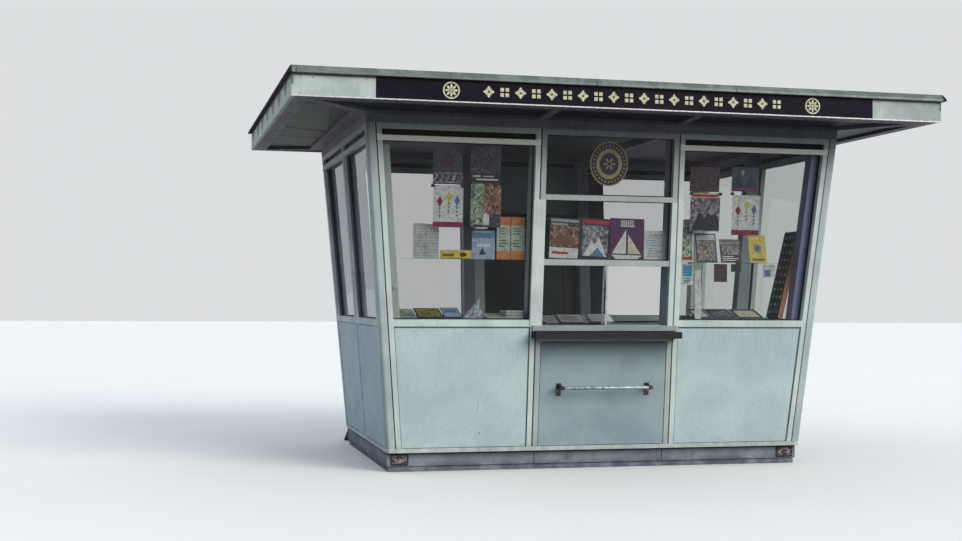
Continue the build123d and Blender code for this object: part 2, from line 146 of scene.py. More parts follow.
class Surface(Nodes):
    """A procedural material under construction."""

    def __init__(self, name, roughness=0.5, metallic=0.0, gloss=0.5):
        self.material = bpy.data.materials.new(name)
        self.material.use_nodes = True
        super().__init__(self.material.node_tree)
        self.shader = self.tree.nodes["Principled BSDF"]
        for key, value in (("Metallic", metallic), ("Roughness", roughness), ("Specular IOR Level", gloss)):
            self.shader.inputs[key].default_value = value
        self.place = self.node("TexCoord", output="Object")
        self.x, self.y, self.z = [self.node("SeparateXYZ", {0: self.place}, axis) for axis in range(3)]

    def scaled(self, stretch, shift):
        return self.node("Mapping", {"Vector": self.place, "Scale": stretch, "Location": shift})

    def noise(self, scale, detail=4, stretch=(1, 1, 1), shift=(0, 0, 0), distortion=0.0):
        return self.node("TexNoise", {"Vector": self.scaled(stretch, shift), "Scale": scale, "Detail": detail,
                                      "Distortion": distortion}, "Fac")

    def spots(self, low, high, *noise, **more):
        """1 where a noise is over high, 0 where it is under low."""
        return self.span(self.noise(*noise, **more), low, high)

    def cells(self, scale):
        return self.node("TexVoronoi", {"Vector": self.scaled((1, 1, 1), (0, 0, 0)), "Scale": scale}, "Distance")

    def both(self, first, second):
        return self.calc("MULTIPLY", first, second, clamp=True)

    def less(self, first, second):
        return self.calc("SUBTRACT", first, second)

    def size(self, value):
        return self.calc("ABSOLUTE", value)

    def blend(self, share, first, second):
        return self.node("Mix", {"Factor": share, 6: first, 7: second}, 2, data_type="RGBA")

    def mix(self, share, *colours):
        """Blend two display colours or outputs."""
        return self.blend(share, *(linear(each) if isinstance(each, tuple) else each for each in colours))

    def line(self, value, place, width):
        """1 within a thin line across an axis, 0 elsewhere."""
        return self.span(self.size(self.less(value, place)), width / 2, width, 1, 0)

    def lines(self, value, pitch, width, shift=0.0):
        """1 on thin lines repeated along an axis."""
        step = self.calc("PINGPONG", self.calc("ADD", value, shift), pitch / 2)
        return self.span(step, width / 2, width, 1, 0)

    def setback(self):
        """How far a point lies behind the nearest of the four outer wall faces."""
        rise = self.less(self.z, sole_level)
        depths = []
        for place, half, lean in ((self.x, body_width / 2, side_lean), (self.y, body_depth / 2, front_lean)):
            face = self.calc("ADD", self.calc("MULTIPLY", rise, lean), half)
            depths.append(self.less(face, self.size(place)))
        return self.calc("MINIMUM", *depths)

    def colour(self, value):
        self.tone = value
        self.plug(self.shader.inputs["Base Color"], value)

    def tones(self, share, first, second):
        self.colour(self.mix(share, first, second))

    def stain(self, where, share, shade):
        """Lay a colour over what is there, so strongly where the mask is 1."""
        self.tones(self.both(where, share), self.tone, shade)

    def rough(self, value):
        self.plug(self.shader.inputs["Roughness"], value)

    def bump(self, height, distance, strength=1.0):
        made = self.node("Bump", {"Distance": distance, "Strength": strength, "Height": height})
        self.plug(self.shader.inputs["Normal"], made)

    def edges(self, radius):
        """1 along outer and inner edges, 0 on open faces."""
        bevel = self.node("Bevel", {"Radius": radius}, samples=4)
        plain = self.node("NewGeometry", output="Normal")
        return self.span(self.node("VectorMath", {0: bevel, 1: plain}, "Value", operation="DOT_PRODUCT"), 0.995, 0.8)

    def show(self, shader):
        self.plug(self.tree.nodes["Material Output"].inputs["Surface"], shader)

    def veiled(self, share):
        """Let light and sight through all but that share of the surface."""
        clear = self.node("BsdfTransparent")
        self.show(self.node("MixShader", {0: share, 1: clear, 2: self.shader.outputs[0]}))
        return self


def aged_paint(name, light, dark, grime, roughness=0.45, gloss=0.3, within=None, reveal_painted_light=None, streaky=0.30):
    """Old brushed paint: cloudy, streaked, darkened by painted shade under the roof, dirty at edges and near the
    ground.
    """
    coat = Surface(name, roughness, gloss=gloss)
    clouds = coat.noise(2.6, 5, distortion=0.6)
    fine = coat.noise(38, 5)
    coat.tones(coat.span(clouds, 0.32, 0.68), light, dark)
    coat.stain(coat.spots(0.52, 0.78, 9, 4, (4, 4, 0.25)), streaky, grime)
    coat.stain(coat.span(fine, 0.56, 0.75), 0.16, grime)
    near_ground = coat.span(coat.z, 0.14, 0.42, 1, 0)
    coat.stain(coat.both(near_ground, coat.spots(0.35, 0.7, 14, 5)), streaky, (104, 100, 96))
    # Painted shade: darker towards the top, where the roof's overhang shades the walls.
    coat.stain(coat.span(coat.z, 2.20, 2.58), 0.40, (58, 56, 62))
    coat.stain(coat.both(coat.edges(0.006), coat.spots(0.40, 0.62, 24, 4)), 0.45, (88, 88, 90))
    # Faces set back from the wall face: painted light on the reveals where a reveal colour is given, then the inside
    # paint behind the glass.
    for depth, shade in ((0.003, reveal_painted_light), (0.050, within)):
        if shade:
            varied = coat.mix(coat.span(clouds, 0.35, 0.65), shade, tuple(0.85 * part for part in shade))
            coat.tones(coat.span(coat.setback(), depth, depth + 0.004), coat.tone, varied)
    coat.rough(coat.span(fine, 0.3, 0.7, roughness - 0.10, roughness + 0.18))
    coat.bump(coat.calc("ADD", coat.noise(60, 3, (1, 1, 0.12)), coat.calc("MULTIPLY", clouds, 2.0)), 0.0007, 0.5)
    return coat


def panel_paint(name, light, dark, within=None):
    """Paint on sheet panels: finely mottled, with a few chips and scratches and a damp top edge."""
    coat = aged_paint(name, light, dark, (128, 138, 140), 0.48, within=within, streaky=0.10)
    chips = coat.span(coat.cells(26), 0.05, 0.03)
    coat.stain(coat.both(chips, coat.spots(0.55, 0.62, 5, 2)), 0.8, (84, 78, 74))
    coat.stain(coat.spots(0.69, 0.72, 7, 6, (1, 1, 9), (3, 1, 2), 1.4), 0.25, (112, 120, 124))
    coat.stain(coat.spots(0.50, 0.62, 90, 4), 0.22, (140, 152, 150))
    runs = coat.spots(0.4, 0.7, 13, 4, (3, 3, 0.2))
    coat.stain(coat.both(coat.span(coat.z, 0.72, 1.07), runs), 0.12, (118, 122, 122))
    return coat


def front_panel_paint():
    """The front panels, with painted shade along their upper and right edges, where the sill and the stiles shade them.
    """
    coat = panel_paint("panel_paint", (184, 203, 203), (170, 189, 192))
    rise = coat.less(coat.z, sole_level)
    outer = coat.less(coat.x, coat.calc("MULTIPLY", rise, side_lean))
    outer_end = body_width / 2 - corner_inset - stile
    inner_end = mullion_place + half_gap + stile
    # Painted shade: thin dark lines along the joints under the sill and beside the stile at the right of each panel.
    joint = coat.calc("MAXIMUM", coat.line(outer, outer_end - 0.006, 0.010),
                      coat.line(coat.x, -inner_end - 0.005, 0.008))
    joint = coat.calc("MAXIMUM", joint, coat.span(coat.z, sill_level - 0.014, sill_level - 0.009))
    coat.stain(joint, 0.85, (44, 56, 60))
    coat.stain(coat.both(coat.line(coat.x, -0.977, 0.010), coat.line(coat.z, 0.50, 0.07)), 0.22, (132, 128, 96))
    away = coat.calc("ADD", coat.size(coat.calc("ADD", coat.x, 0.959)), coat.size(coat.less(coat.z, 0.285)))
    coat.stain(coat.span(away, 0.005, 0.009, 1, 0), 0.8, (70, 76, 80))
    return coat


def centre_panel_paint():
    """The panel under the hatch, with painted shade under the ledge along its top."""
    coat = panel_paint("centre_panel_paint", (150, 168, 173), (134, 152, 158))
    # Painted shade of the serving ledge, darker towards the panel's top.
    coat.stain(coat.span(coat.z, 0.68, 1.00), 0.75, (70, 77, 84))
    return coat


def front_frame_paint():
    """The outer front frames, their light bars brighter than the bars above, which carry painted shade."""
    coat = aged_paint("frame_paint", *pale_shades, within=mint_inside)
    coat.stain(coat.line(coat.z, 2.453, 0.030), 0.6, (240, 238, 224))
    return coat


def corner_post_paint():
    """Pale green posts, with painted shade in slate blue on the one at the front right."""
    coat = aged_paint("corner_post_paint", (184, 196, 188), (170, 183, 176), (104, 116, 110))
    # Painted shade: the front right post turned slate blue.
    coat.stain(coat.both(coat.span(coat.x, -0.1, 0.1), coat.span(coat.y, -0.1, 0.1, 1, 0)), 1.0, (146, 154, 190))
    return coat


def left_frame_paint():
    """The left wall's frames, with painted light on the outer part of the reveals that the camera looks into and
    painted shade deeper in them.
    """
    coat = aged_paint("left_frame_paint", *side_shades, within=(206, 212, 220), reveal_painted_light=(222, 225, 232))
    depth = coat.setback()
    # Painted shade: a dark band deeper in the reveals.
    reveal_shade = coat.both(coat.span(depth, 0.021, 0.025), coat.span(depth, 0.050, 0.053, 1, 0))
    coat.stain(reveal_shade, 1.0, (104, 102, 120))
    return coat


def strip_paint():
    """The strips that cover the joints beside the hatch, the right one with an open joint down it."""
    coat = aged_paint("strip_paint", *pale_shades)
    coat.stain(coat.line(coat.x, mullion_place, 0.007), 0.85, (46, 48, 54))
    return coat


def door_paint():
    """The door is painted outside; inside only its hanging stile is pale, and the rest is near black, partly painted
    shade.
    """
    coat = aged_paint("door_paint", (158, 170, 170), (144, 158, 161), (110, 116, 118), 0.4)
    inner_tone = coat.mix(coat.span(coat.x, -0.378, -0.374, 1, 0), dark_and_shaded_inside, (228, 236, 236))
    coat.tones(coat.span(coat.setback(), 0.028, 0.032), coat.tone, inner_tone)
    return coat


def window_glass(name, tint, index):
    """Clear sheet glass that mirrors at a grazing angle, with a thin film of dust."""
    coat = Surface(name)
    clear = coat.node("BsdfTransparent", {0: tint})
    mirror = coat.node("BsdfGlossy", {"Color": (0.92, 0.95, 1.0), "Roughness": 0.02})
    outer = coat.less(1.0, coat.node("NewGeometry", output="Backfacing"))
    share = coat.calc("MULTIPLY", coat.node("Fresnel", {"IOR": index}), outer)
    pane = coat.node("MixShader", {0: share, 1: clear, 2: mirror})
    dust = coat.node("BsdfDiffuse", {"Color": linear((190, 195, 190))})
    smears = coat.span(coat.noise(3.5, 5, (1, 1, 0.4), distortion=1.5), 0.42, 0.85, 0.002, 0.016)
    coat.show(coat.node("MixShader", {0: smears, 1: pane, 2: dust}))
    coat.tree.nodes.remove(coat.shader)
    return coat


def thin_paper():
    """Paper that the light behind it shows through."""
    coat = Surface("thin_paper", 0.6)
    coat.tones(coat.spots(0.4, 0.7, 30, 4), (176, 186, 176), (140, 152, 146))
    coat.stain(coat.lines(coat.z, 0.022, 0.006), 0.5, (84, 92, 92))
    return coat.veiled(coat.span(coat.noise(16, 3), 0.3, 0.7, 0.45, 0.75))


def bag_film():
    coat = Surface("bag_film", 0.25)
    folds = coat.noise(24, 5, distortion=2.0)
    coat.tones(coat.span(folds, 0.4, 0.6), (150, 170, 190), (188, 202, 212))
    coat.bump(folds, 0.006, 0.9)
    return coat.veiled(coat.span(folds, 0.35, 0.65, 0.30, 0.75))


def plinth_block():
    coat = Surface("plinth_block", 0.85, gloss=0.3)
    grain = coat.noise(90, 6)
    coat.tones(coat.spots(0.3, 0.7, 5, 5, distortion=0.4), (134, 143, 152), (108, 115, 125))
    coat.stain(coat.span(grain, 0.45, 0.7), 0.4, (84, 84, 92))
    coat.stain(coat.both(coat.span(coat.z, 0.03, 0.09, 1, 0), coat.spots(0.3, 0.6, 9, 4)), 0.6, (60, 56, 66))
    coat.stain(coat.spots(0.62, 0.72, 11, 6, (1, 1, 0.6), (2, 5, 1)), 0.45, (92, 70, 66))
    holes = coat.span(coat.cells(22), 0.10, 0.05)
    coat.stain(holes, 0.8, (44, 38, 40))
    # Painted shade: a dark band along the plinth's top, under the sole frame.
    coat.stain(coat.span(coat.z, sole_level - 0.018, sole_level - 0.010), 0.85, (26, 25, 34))
    joints = coat.both(coat.lines(coat.x, 1.03, 0.004, 0.515), coat.span(coat.z, 0.041, 0.044))
    coat.stain(joints, 1.0, (50, 48, 52))
    coat.bump(coat.less(grain, coat.calc("ADD", holes, joints)), 0.003, 0.8)
    return coat


def rusty_steel():
    coat = Surface("rusty_steel", 0.8, gloss=0.3)
    flakes = coat.noise(34, 6, distortion=0.8)
    rusted = coat.mix(coat.spots(0.35, 0.65, 70, 5), (70, 52, 54), (44, 36, 42))
    painted = coat.mix(coat.spots(0.4, 0.6, 16, 4), (136, 136, 140), (112, 110, 116))
    rim = coat.span(coat.size(coat.y), 1.0185, 1.0195)
    coat.tones(coat.calc("ADD", coat.span(flakes, 0.50, 0.58), rim, clamp=True), painted, rusted)
    coat.bump(flakes, 0.0025, 0.9)
    return coat


def prop_steel():
    coat = Surface("prop_steel", 0.7)
    coat.tones(coat.spots(0.42, 0.62, 26, 6), (56, 56, 66), (78, 58, 54))
    coat.bump(coat.noise(60, 5), 0.0015, 0.8)
    return coat


def planks(name, light, dark, seam, pitch, roughness=0.6, gloss=0.3):
    """Boards with grain along X and a seam every pitch across it."""
    coat = Surface(name, roughness, gloss=gloss)
    grain = coat.noise(7, 7, (0.6, 14, 14), distortion=1.2)
    coat.tones(coat.span(grain, 0.35, 0.68), light, dark)
    step = coat.calc("FLOOR", coat.calc("DIVIDE", coat.y, pitch))
    coat.stain(coat.calc("FRACT", coat.calc("MULTIPLY", step, 0.618)), 0.35, dark)
    seams = coat.lines(coat.y, pitch, 0.004)
    coat.tones(seams, coat.tone, seam)
    coat.rough(coat.span(grain, 0.3, 0.7, roughness - 0.12, roughness + 0.15))
    coat.bump(coat.less(coat.calc("MULTIPLY", grain, 0.5), seams), 0.0015, 0.8)
    return coat


def rail_metal():
    coat = Surface("rail_metal", 0.35, 0.35)
    spots = coat.noise(30, 5)
    tube = coat.mix(coat.span(spots, 0.42, 0.66), (158, 166, 166), (108, 112, 116))
    bracket = coat.mix(coat.span(spots, 0.4, 0.6), (42, 36, 40), (70, 54, 50))
    coat.tones(coat.span(coat.size(coat.x), 0.3325, 0.3335), tube, bracket)
    coat.rough(coat.span(spots, 0.3, 0.7, 0.28, 0.55))
    coat.bump(spots, 0.0006, 0.6)
    return coat


def plain_metal(name, light, dark, roughness=0.4, metallic=0.7):
    coat = Surface(name, roughness, metallic)
    spots = coat.noise(40, 5)
    coat.tones(coat.span(spots, 0.4, 0.7), light, dark)
    coat.rough(coat.span(spots, 0.3, 0.7, roughness - 0.1, roughness + 0.15))
    coat.bump(coat.noise(120, 3), 0.0004, 0.5)
    return coat


def sign_paint():
    coat = Surface("sign_paint", 0.5, gloss=0.05)
    dust = coat.noise(5, 6, (1, 1, 3), distortion=0.7)
    coat.tones(coat.span(dust, 0.45, 0.75), (22, 19, 29), (32, 28, 40))
    coat.stain(coat.both(coat.span(coat.z, 2.74, 2.81), coat.spots(0.35, 0.7, 12, 4)), 0.15, (66, 64, 72))
    seams = coat.lines(coat.x, 0.94, 0.0025, 0.30)
    coat.stain(seams, 0.8, (10, 9, 13))
    coat.rough(coat.span(dust, 0.3, 0.7, 0.35, 0.6))
    coat.bump(coat.less(coat.noise(26, 4), seams), 0.0006, 0.5)
    return coat


def fascia_paint():
    """White boards: clean at the front, dark in scallops at the top of both ends, reaching lowest at the joints, with
    painted shade towards the right end and under the roof's edge strip.
    """
    coat = Surface("fascia_paint", 0.55, gloss=0.3)
    coat.tones(coat.spots(0.35, 0.65, 6, 5, distortion=0.5), (184, 195, 188), (165, 176, 170))
    coat.stain(coat.spots(0.50, 0.72, 11, 5, (3, 3, 0.35)), 0.22, (132, 136, 134))
    # Painted shade: darker towards the right end.
    coat.stain(coat.span(coat.x, 1.85, 2.35), 0.42, (106, 114, 112))
    # Painted shadow under the roof's edge strip.
    coat.stain(coat.span(coat.z, 2.786, 2.793), 0.75, (58, 52, 52))
    step = coat.calc("PINGPONG", coat.calc("ADD", coat.y, fascia_front - fascia_first_joint), fascia_pitch / 2)
    waves = coat.calc("MULTIPLY", coat.noise(3.2, 3, (0.3, 1.3, 0.1), (1, 3, 0)), 0.11)
    depth = coat.less(coat.z, coat.less(coat.span(step, 0.0, 0.17, 0.0, 0.095), waves))
    dark_scallops = coat.both(coat.span(depth, 2.735, 2.752), coat.span(coat.size(coat.x), 2.435, 2.445))
    coat.stain(dark_scallops, 0.80, (62, 68, 72))
    foot = coat.both(coat.span(coat.z, 2.651, 2.664, 1, 0), coat.spots(0.4, 0.7, 20, 4))
    coat.stain(foot, 0.5, (120, 118, 114))
    coat.stain(coat.both(coat.edges(0.005), coat.spots(0.42, 0.6, 30, 4)), 0.5, (104, 102, 102))
    coat.bump(coat.noise(40, 5, (1, 1, 0.3)), 0.0008, 0.6)
    return coat


def roof_edge():
    coat = Surface("roof_edge", 0.6, gloss=0.05)
    clouds = coat.noise(9, 6, distortion=0.6)
    # Painted light and shade: the lower cant darker than the upper face, and the upper face darker towards the left
    # end.
    shaded_cant = coat.mix(coat.span(clouds, 0.35, 0.65), (110, 118, 113), (90, 97, 94))
    light = coat.mix(coat.span(coat.x, -2.2, 2.2), (122, 131, 125), (148, 158, 152))
    coat.tones(coat.span(coat.z, 2.821, 2.823, 1, 0), shaded_cant, light)
    coat.stain(coat.span(clouds, 0.45, 0.65), 0.4, (96, 104, 100))
    coat.stain(coat.spots(0.52, 0.7, 60, 6), 0.35, (82, 88, 90))
    # Painted shade: both end faces near black.
    coat.stain(coat.span(coat.size(coat.x), 2.452, 2.458), 1.0, (36, 37, 42))
    joints = coat.lines(coat.x, 1.064, 0.004, 0.298)
    coat.stain(joints, 0.85, (60, 64, 70))
    coat.rough(coat.span(clouds, 0.3, 0.7, 0.60, 0.80))
    coat.bump(coat.less(clouds, joints), 0.001, 0.5)
    return coat


def roof_sheet():
    coat = Surface("roof_sheet", 0.9, gloss=0.3)
    grit = coat.noise(240, 3)
    clouds = coat.noise(3, 5, distortion=0.8)
    coat.tones(coat.span(clouds, 0.3, 0.7), (96, 98, 100), (74, 75, 78))
    coat.stain(coat.span(grit, 0.5, 0.65), 0.4, (122, 122, 120))
    coat.stain(coat.spots(0.62, 0.74, 8, 6, shift=(4, 2, 0)), 0.45, (84, 90, 66))
    tar = coat.both(coat.lines(coat.x, 0.98, 0.05, 0.49), coat.spots(0.3, 0.6, 20, 4))
    coat.stain(tar, 0.5, (46, 46, 50))
    laps = coat.lines(coat.x, 0.98, 0.006, 0.49)
    coat.tones(laps, coat.tone, (30, 30, 34))
    coat.bump(coat.less(coat.calc("ADD", grit, clouds), laps), 0.003, 0.8)
    return coat


def soffit_board():
    """Dark greenish boards, with painted shade next to the walls and over the front and rear overhangs, and black
    painted shade on the stepped faces at their joints.
    """
    coat = Surface("soffit_board", 0.6, gloss=0.1)
    coat.tones(coat.spots(0.35, 0.65, 1.6, 4, distortion=0.5), (98, 106, 90), (80, 86, 76))
    coat.stain(coat.spots(0.5, 0.72, 18, 5), 0.35, (108, 112, 98))
    reach = coat.size(coat.x)
    skewed = coat.calc("ADD", coat.y, coat.calc("MULTIPLY", reach, 0.24))
    edge = coat.calc("ADD", reach, coat.calc("MULTIPLY", coat.y, 0.124))
    # Painted shade next to the walls, where the walls' heads shade the boards.
    inboard_shade = coat.both(coat.span(edge, 1.965, 1.985, 1, 0), coat.span(skewed, 0.60, 0.63, 1, 0))
    coat.stain(inboard_shade, 0.75, (38, 38, 42))
    # Painted shade over the front and rear overhangs, behind the fascia.
    coat.stain(coat.span(coat.size(coat.y), 1.28, 1.32), 0.85, (34, 33, 40))
    # Painted shade: black bands for the shaded stepped faces at the board joints.
    joints = coat.calc("MAXIMUM", coat.line(skewed, 0.622, 0.075), coat.line(coat.y, 0.672, 0.040))
    joints = coat.both(joints, coat.span(reach, 1.86, 1.87))
    coat.stain(joints, 1.0, (9, 9, 11))
    coat.bump(coat.less(coat.noise(30, 4), joints), 0.002, 0.6)
    return coat


def vent_board():
    coat = Surface("vent_board", 0.6, gloss=0.2)
    slats = coat.lines(coat.z, 0.009, 0.003)
    coat.tones(coat.spots(0.35, 0.65, 20, 4), (34, 24, 38), (22, 17, 28))
    coat.tones(slats, coat.tone, (9, 8, 10))
    coat.bump(slats, 0.002, 0.8)
    return coat


def rubber():
    coat = Surface("rubber", 0.65, gloss=0.3)
    coat.tones(coat.spots(0.4, 0.7, 50, 4), (34, 34, 38), (58, 58, 60))
    coat.bump(coat.noise(90, 3), 0.0004, 0.6)
    return coat


papers = {}


def paper(red, green, blue):
    """Printed paper of one colour, slightly mottled and soft to the light."""
    key = (red, green, blue)
    if key not in papers:
        coat = Surface(f"paper_{red}_{green}_{blue}", 0.5, gloss=0.3)
        coat.tones(coat.spots(0.35, 0.7, 45, 5), key, (red * 0.82, green * 0.82, blue * 0.84))
        coat.bump(coat.noise(22, 4, distortion=0.5), 0.0015, 0.5)
        papers[key] = coat
    return papers[key]


def picture(name, dark, middle, light, scale):
    """A printed picture seen from afar: soft patches of three tones."""
    coat = Surface(f"picture_{name}", 0.45, gloss=0.3)
    coat.tones(coat.spots(0.44, 0.54, scale, 2, distortion=1.5), dark, middle)
    coat.tones(coat.spots(0.53, 0.61, scale * 2.7, 4, shift=(5, 2, 3), distortion=0.8), coat.tone, light)
    coat.bump(coat.noise(22, 4), 0.0012, 0.5)
    return coat


def floor_paint():
    """Pale to the eye and in reflections, as dark as pavement to the light it throws up."""
    coat = Surface("studio_floor", 0.9)
    pale = coat.blend(coat.noise(0.6, 3), (0.70, 0.675, 0.64), (0.73, 0.705, 0.67))
    coat.colour(coat.blend(coat.seen(), (0.095, 0.09, 0.085), pale))
    return coat


pale_shades = (200, 211, 206), (182, 194, 191), (134, 138, 132)
side_shades = (184, 196, 200), (164, 177, 184), (120, 126, 130)
# Inside paints: pale mint, and near black for inside faces at the rear, partly painted shade of the dim interior.
mint_inside, dark_and_shaded_inside = (176, 190, 180), (26, 23, 32)
front_coat = front_frame_paint()
centre_coat = aged_paint("centre_frame_paint", (172, 182, 177), (155, 165, 164), (112, 118, 118),
                         within=(130, 140, 152))
side_panel_coat = panel_paint("side_panel_paint", (174, 195, 202), (160, 181, 190))
glass = window_glass("window_glass", (0.87, 0.87, 0.87), 1.22)
side_glass = window_glass("side_glass", (0.86, 0.89, 0.86), 1.38)
plinth_stone = plinth_block()
rust = rusty_steel()
pane_metal = plain_metal("pane_metal", (176, 182, 182), (132, 138, 140), 0.35, 0.6)
gasket = rubber()
screw_metal = plain_metal("screw_metal", (120, 116, 112), (76, 66, 62), 0.5, 0.5)

finishes = {
    "footing": plinth_stone, "plinth": plinth_stone, "plinth_corner_plates": rust,
    "rear_base_props": prop_steel(),
    "sole_frame": aged_paint("sole_paint", (194, 204, 200), (176, 187, 183), (120, 120, 116)),
    "floor": planks("floor_board", (92, 80, 70), (66, 56, 50), (28, 25, 24), 0.12),
    "corner_posts": corner_post_paint(),
    "corner_trims": aged_paint("corner_paint", (178, 191, 190), (160, 174, 176), (110, 118, 124)),
    "mullion_posts": aged_paint("post_paint", (150, 160, 170), (134, 144, 156), (80, 88, 100)),
    "front_left_frame": front_coat, "front_centre_frame": centre_coat, "front_right_frame": front_coat,
    "left_wall_frames": left_frame_paint(),
    "right_wall_frames": aged_paint("right_frame_paint", *side_shades, within=(180, 190, 206)),
    "rear_wall_frames": aged_paint("rear_frame_paint", *side_shades, within=(160, 174, 176)),
    "rear_door_frame": aged_paint("door_frame_paint", (184, 196, 196), (166, 178, 180), (124, 128, 128),
                                  within=dark_and_shaded_inside),
    "rear_door": door_paint(),
    "rear_door_fittings": plain_metal("door_metal", (150, 150, 148), (96, 94, 92), 0.35, 0.8),
    "front_panels": front_panel_paint(), "front_centre_panel": centre_panel_paint(),
    "left_wall_panels": side_panel_coat, "right_wall_panels": side_panel_coat,
    "rear_wall_panels": panel_paint("rear_panel_paint", (178, 193, 192), (162, 178, 181), dark_and_shaded_inside),
    "front_window_glass": glass, "sliding_panes": glass, "left_wall_glass": side_glass,
    "right_wall_glass": side_glass, "rear_wall_glass": glass, "vent_boards": vent_board(),
    "hatch_cover_strips": strip_paint(),
    "serving_sill": aged_paint("serving_sill_paint", (152, 160, 160), (137, 145, 147), (104, 108, 110)),
    "serving_ledge": planks("ledge_wood", (52, 48, 51), (38, 35, 39), (22, 19, 22), 0.06, gloss=0.1),
    "handrail": rail_metal(),
    "window_counters": planks("counter_wood", (140, 142, 132), (112, 112, 104), (60, 58, 54), 0.11),
    "glass_shelves": window_glass("shelf_glass", (0.80, 0.90, 0.86), 1.08),
    # Head and soffit frame paints are darker greys, partly painted shade under the roof.
    "head_frame": aged_paint("head_paint", (156, 150, 162), (138, 132, 146), (96, 92, 104), 0.6, 0.2),
    "ceiling": aged_paint("ceiling_paint", (104, 108, 112), (86, 90, 96), (70, 72, 78), 0.6, 0.2),
    "soffit_frame": aged_paint("soffit_paint", (126, 121, 130), (108, 104, 112), (74, 71, 80), 0.6, 0.2),
    "soffit_boards": soffit_board(),
    "roof_deck": planks("roof_board", (120, 108, 92), (92, 80, 68), (40, 34, 30), 0.14),
    "fascia_boards": fascia_paint(), "sign_board": sign_paint(),
    "sign_edge_angle": plain_metal("edge_trim", (206, 208, 204), (170, 172, 170), 0.4, 0.2),
    "roof_edge_trim": roof_edge(), "roof_covering": roof_sheet(),
}
crisp = {"front_window_glass", "sliding_panes", "left_wall_glass", "right_wall_glass", "rear_wall_glass",
         "glass_shelves", "vent_boards", "roof_covering", "roof_deck", "soffit_boards", "ceiling", "floor"}

for name, coat in finishes.items():
    solid = nodes[name]
    solid.data.materials.clear()
    solid.data.materials.append(coat.material)
    if name not in crisp:
        weld = solid.modifiers.new("weld", "WELD")
        weld.merge_threshold = 0.00002
        bevel = solid.modifiers.new("bevel", "BEVEL")
        bevel.width = 0.0016
        bevel.segments = 2
        bevel.limit_method = "ANGLE"
        bevel.angle_limit = math.radians(32)


# Pieces made here
class Piece:
    """Collects the faces of one joined piece, each with its own finish."""

    def __init__(self, name):
        self.name = name
        self.mesh = bmesh.new()
        self.coats = []

    def index(self, coat):
        if coat not in self.coats:
            self.coats.append(coat)
        return self.coats.index(coat)

    def prism(self, outline, depth, coat, far_outline=None):
        """A flat outline drawn out along a vector, or to a second outline."""
        index = self.index(coat)
        near = [self.mesh.verts.new(point) for point in outline]
        far = [self.mesh.verts.new(Vector(point) + depth) for point in far_outline or outline]
        faces = [self.mesh.faces.new(near[::-1]), self.mesh.faces.new(far)]
        for n in range(len(outline)):
            after = (n + 1) % len(outline)
            faces.append(self.mesh.faces.new((near[n], near[after], far[after], far[n])))
        for face in faces:
            face.material_index = index

    def bar(self, start, along, across, depth, coat):
        """A box from one corner, by its three edges."""
        corner, along, across = Vector(start), Vector(along), Vector(across)
        self.prism([corner, corner + along, corner + along + across, corner + across], Vector(depth), coat)

    def loop(self, outer, inner, depth, coat):
        """A mitred border between two outlines of as many points."""
        for n in range(len(outer)):
            after = (n + 1) % len(outer)
            self.prism([outer[n], outer[after], inner[after], inner[n]], depth, coat)

    def screw(self, centre, out, radius, coat):
        """A domed screw head."""
        first = out.orthogonal().normalized()
        second = out.cross(first)
        rim = circle(centre, first, second, radius, 12)
        shoulder = circle(centre, first, second, radius * 0.62, 12)
        self.prism(rim, out * radius * 0.25, coat)
        self.prism([point + out * radius * 0.25 for point in rim], out * radius * 0.3, coat,
                   [point + out * radius * 0.25 for point in shoulder])

    def petals(self, centre, along, up, depth, coat, count, start, reach, length, width, steps):
        """Ovals in a ring, the first at the start angle, each pointing outward."""
        for petal in range(count):
            turn = math.radians(start) + 2 * math.pi * petal / count
            outward = along * math.cos(turn) + up * math.sin(turn)
            across = along * -math.sin(turn) + up * math.cos(turn)
            self.prism(circle(centre + outward * reach, outward, across, length, steps, width), depth, coat)

    def done(self):
        bmesh.ops.recalc_face_normals(self.mesh, faces=self.mesh.faces)
        data = bpy.data.meshes.new(self.name)
        self.mesh.to_mesh(data)
        self.mesh.free()
        for coat in self.coats:
            data.materials.append(coat.material)
        made = bpy.data.objects.new(self.name, data)
        bpy.context.scene.collection.objects.link(made)
        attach(made, "root")


def circle(centre, first, second, radius, steps, height=None):
    """Points round a circle, or an ellipse, in the plane of two unit vectors."""
    tall = radius if height is None else height
    turns = [2 * math.pi * n / steps for n in range(steps)]
    return [centre + first * math.cos(t) * radius + second * math.sin(t) * tall for t in turns]


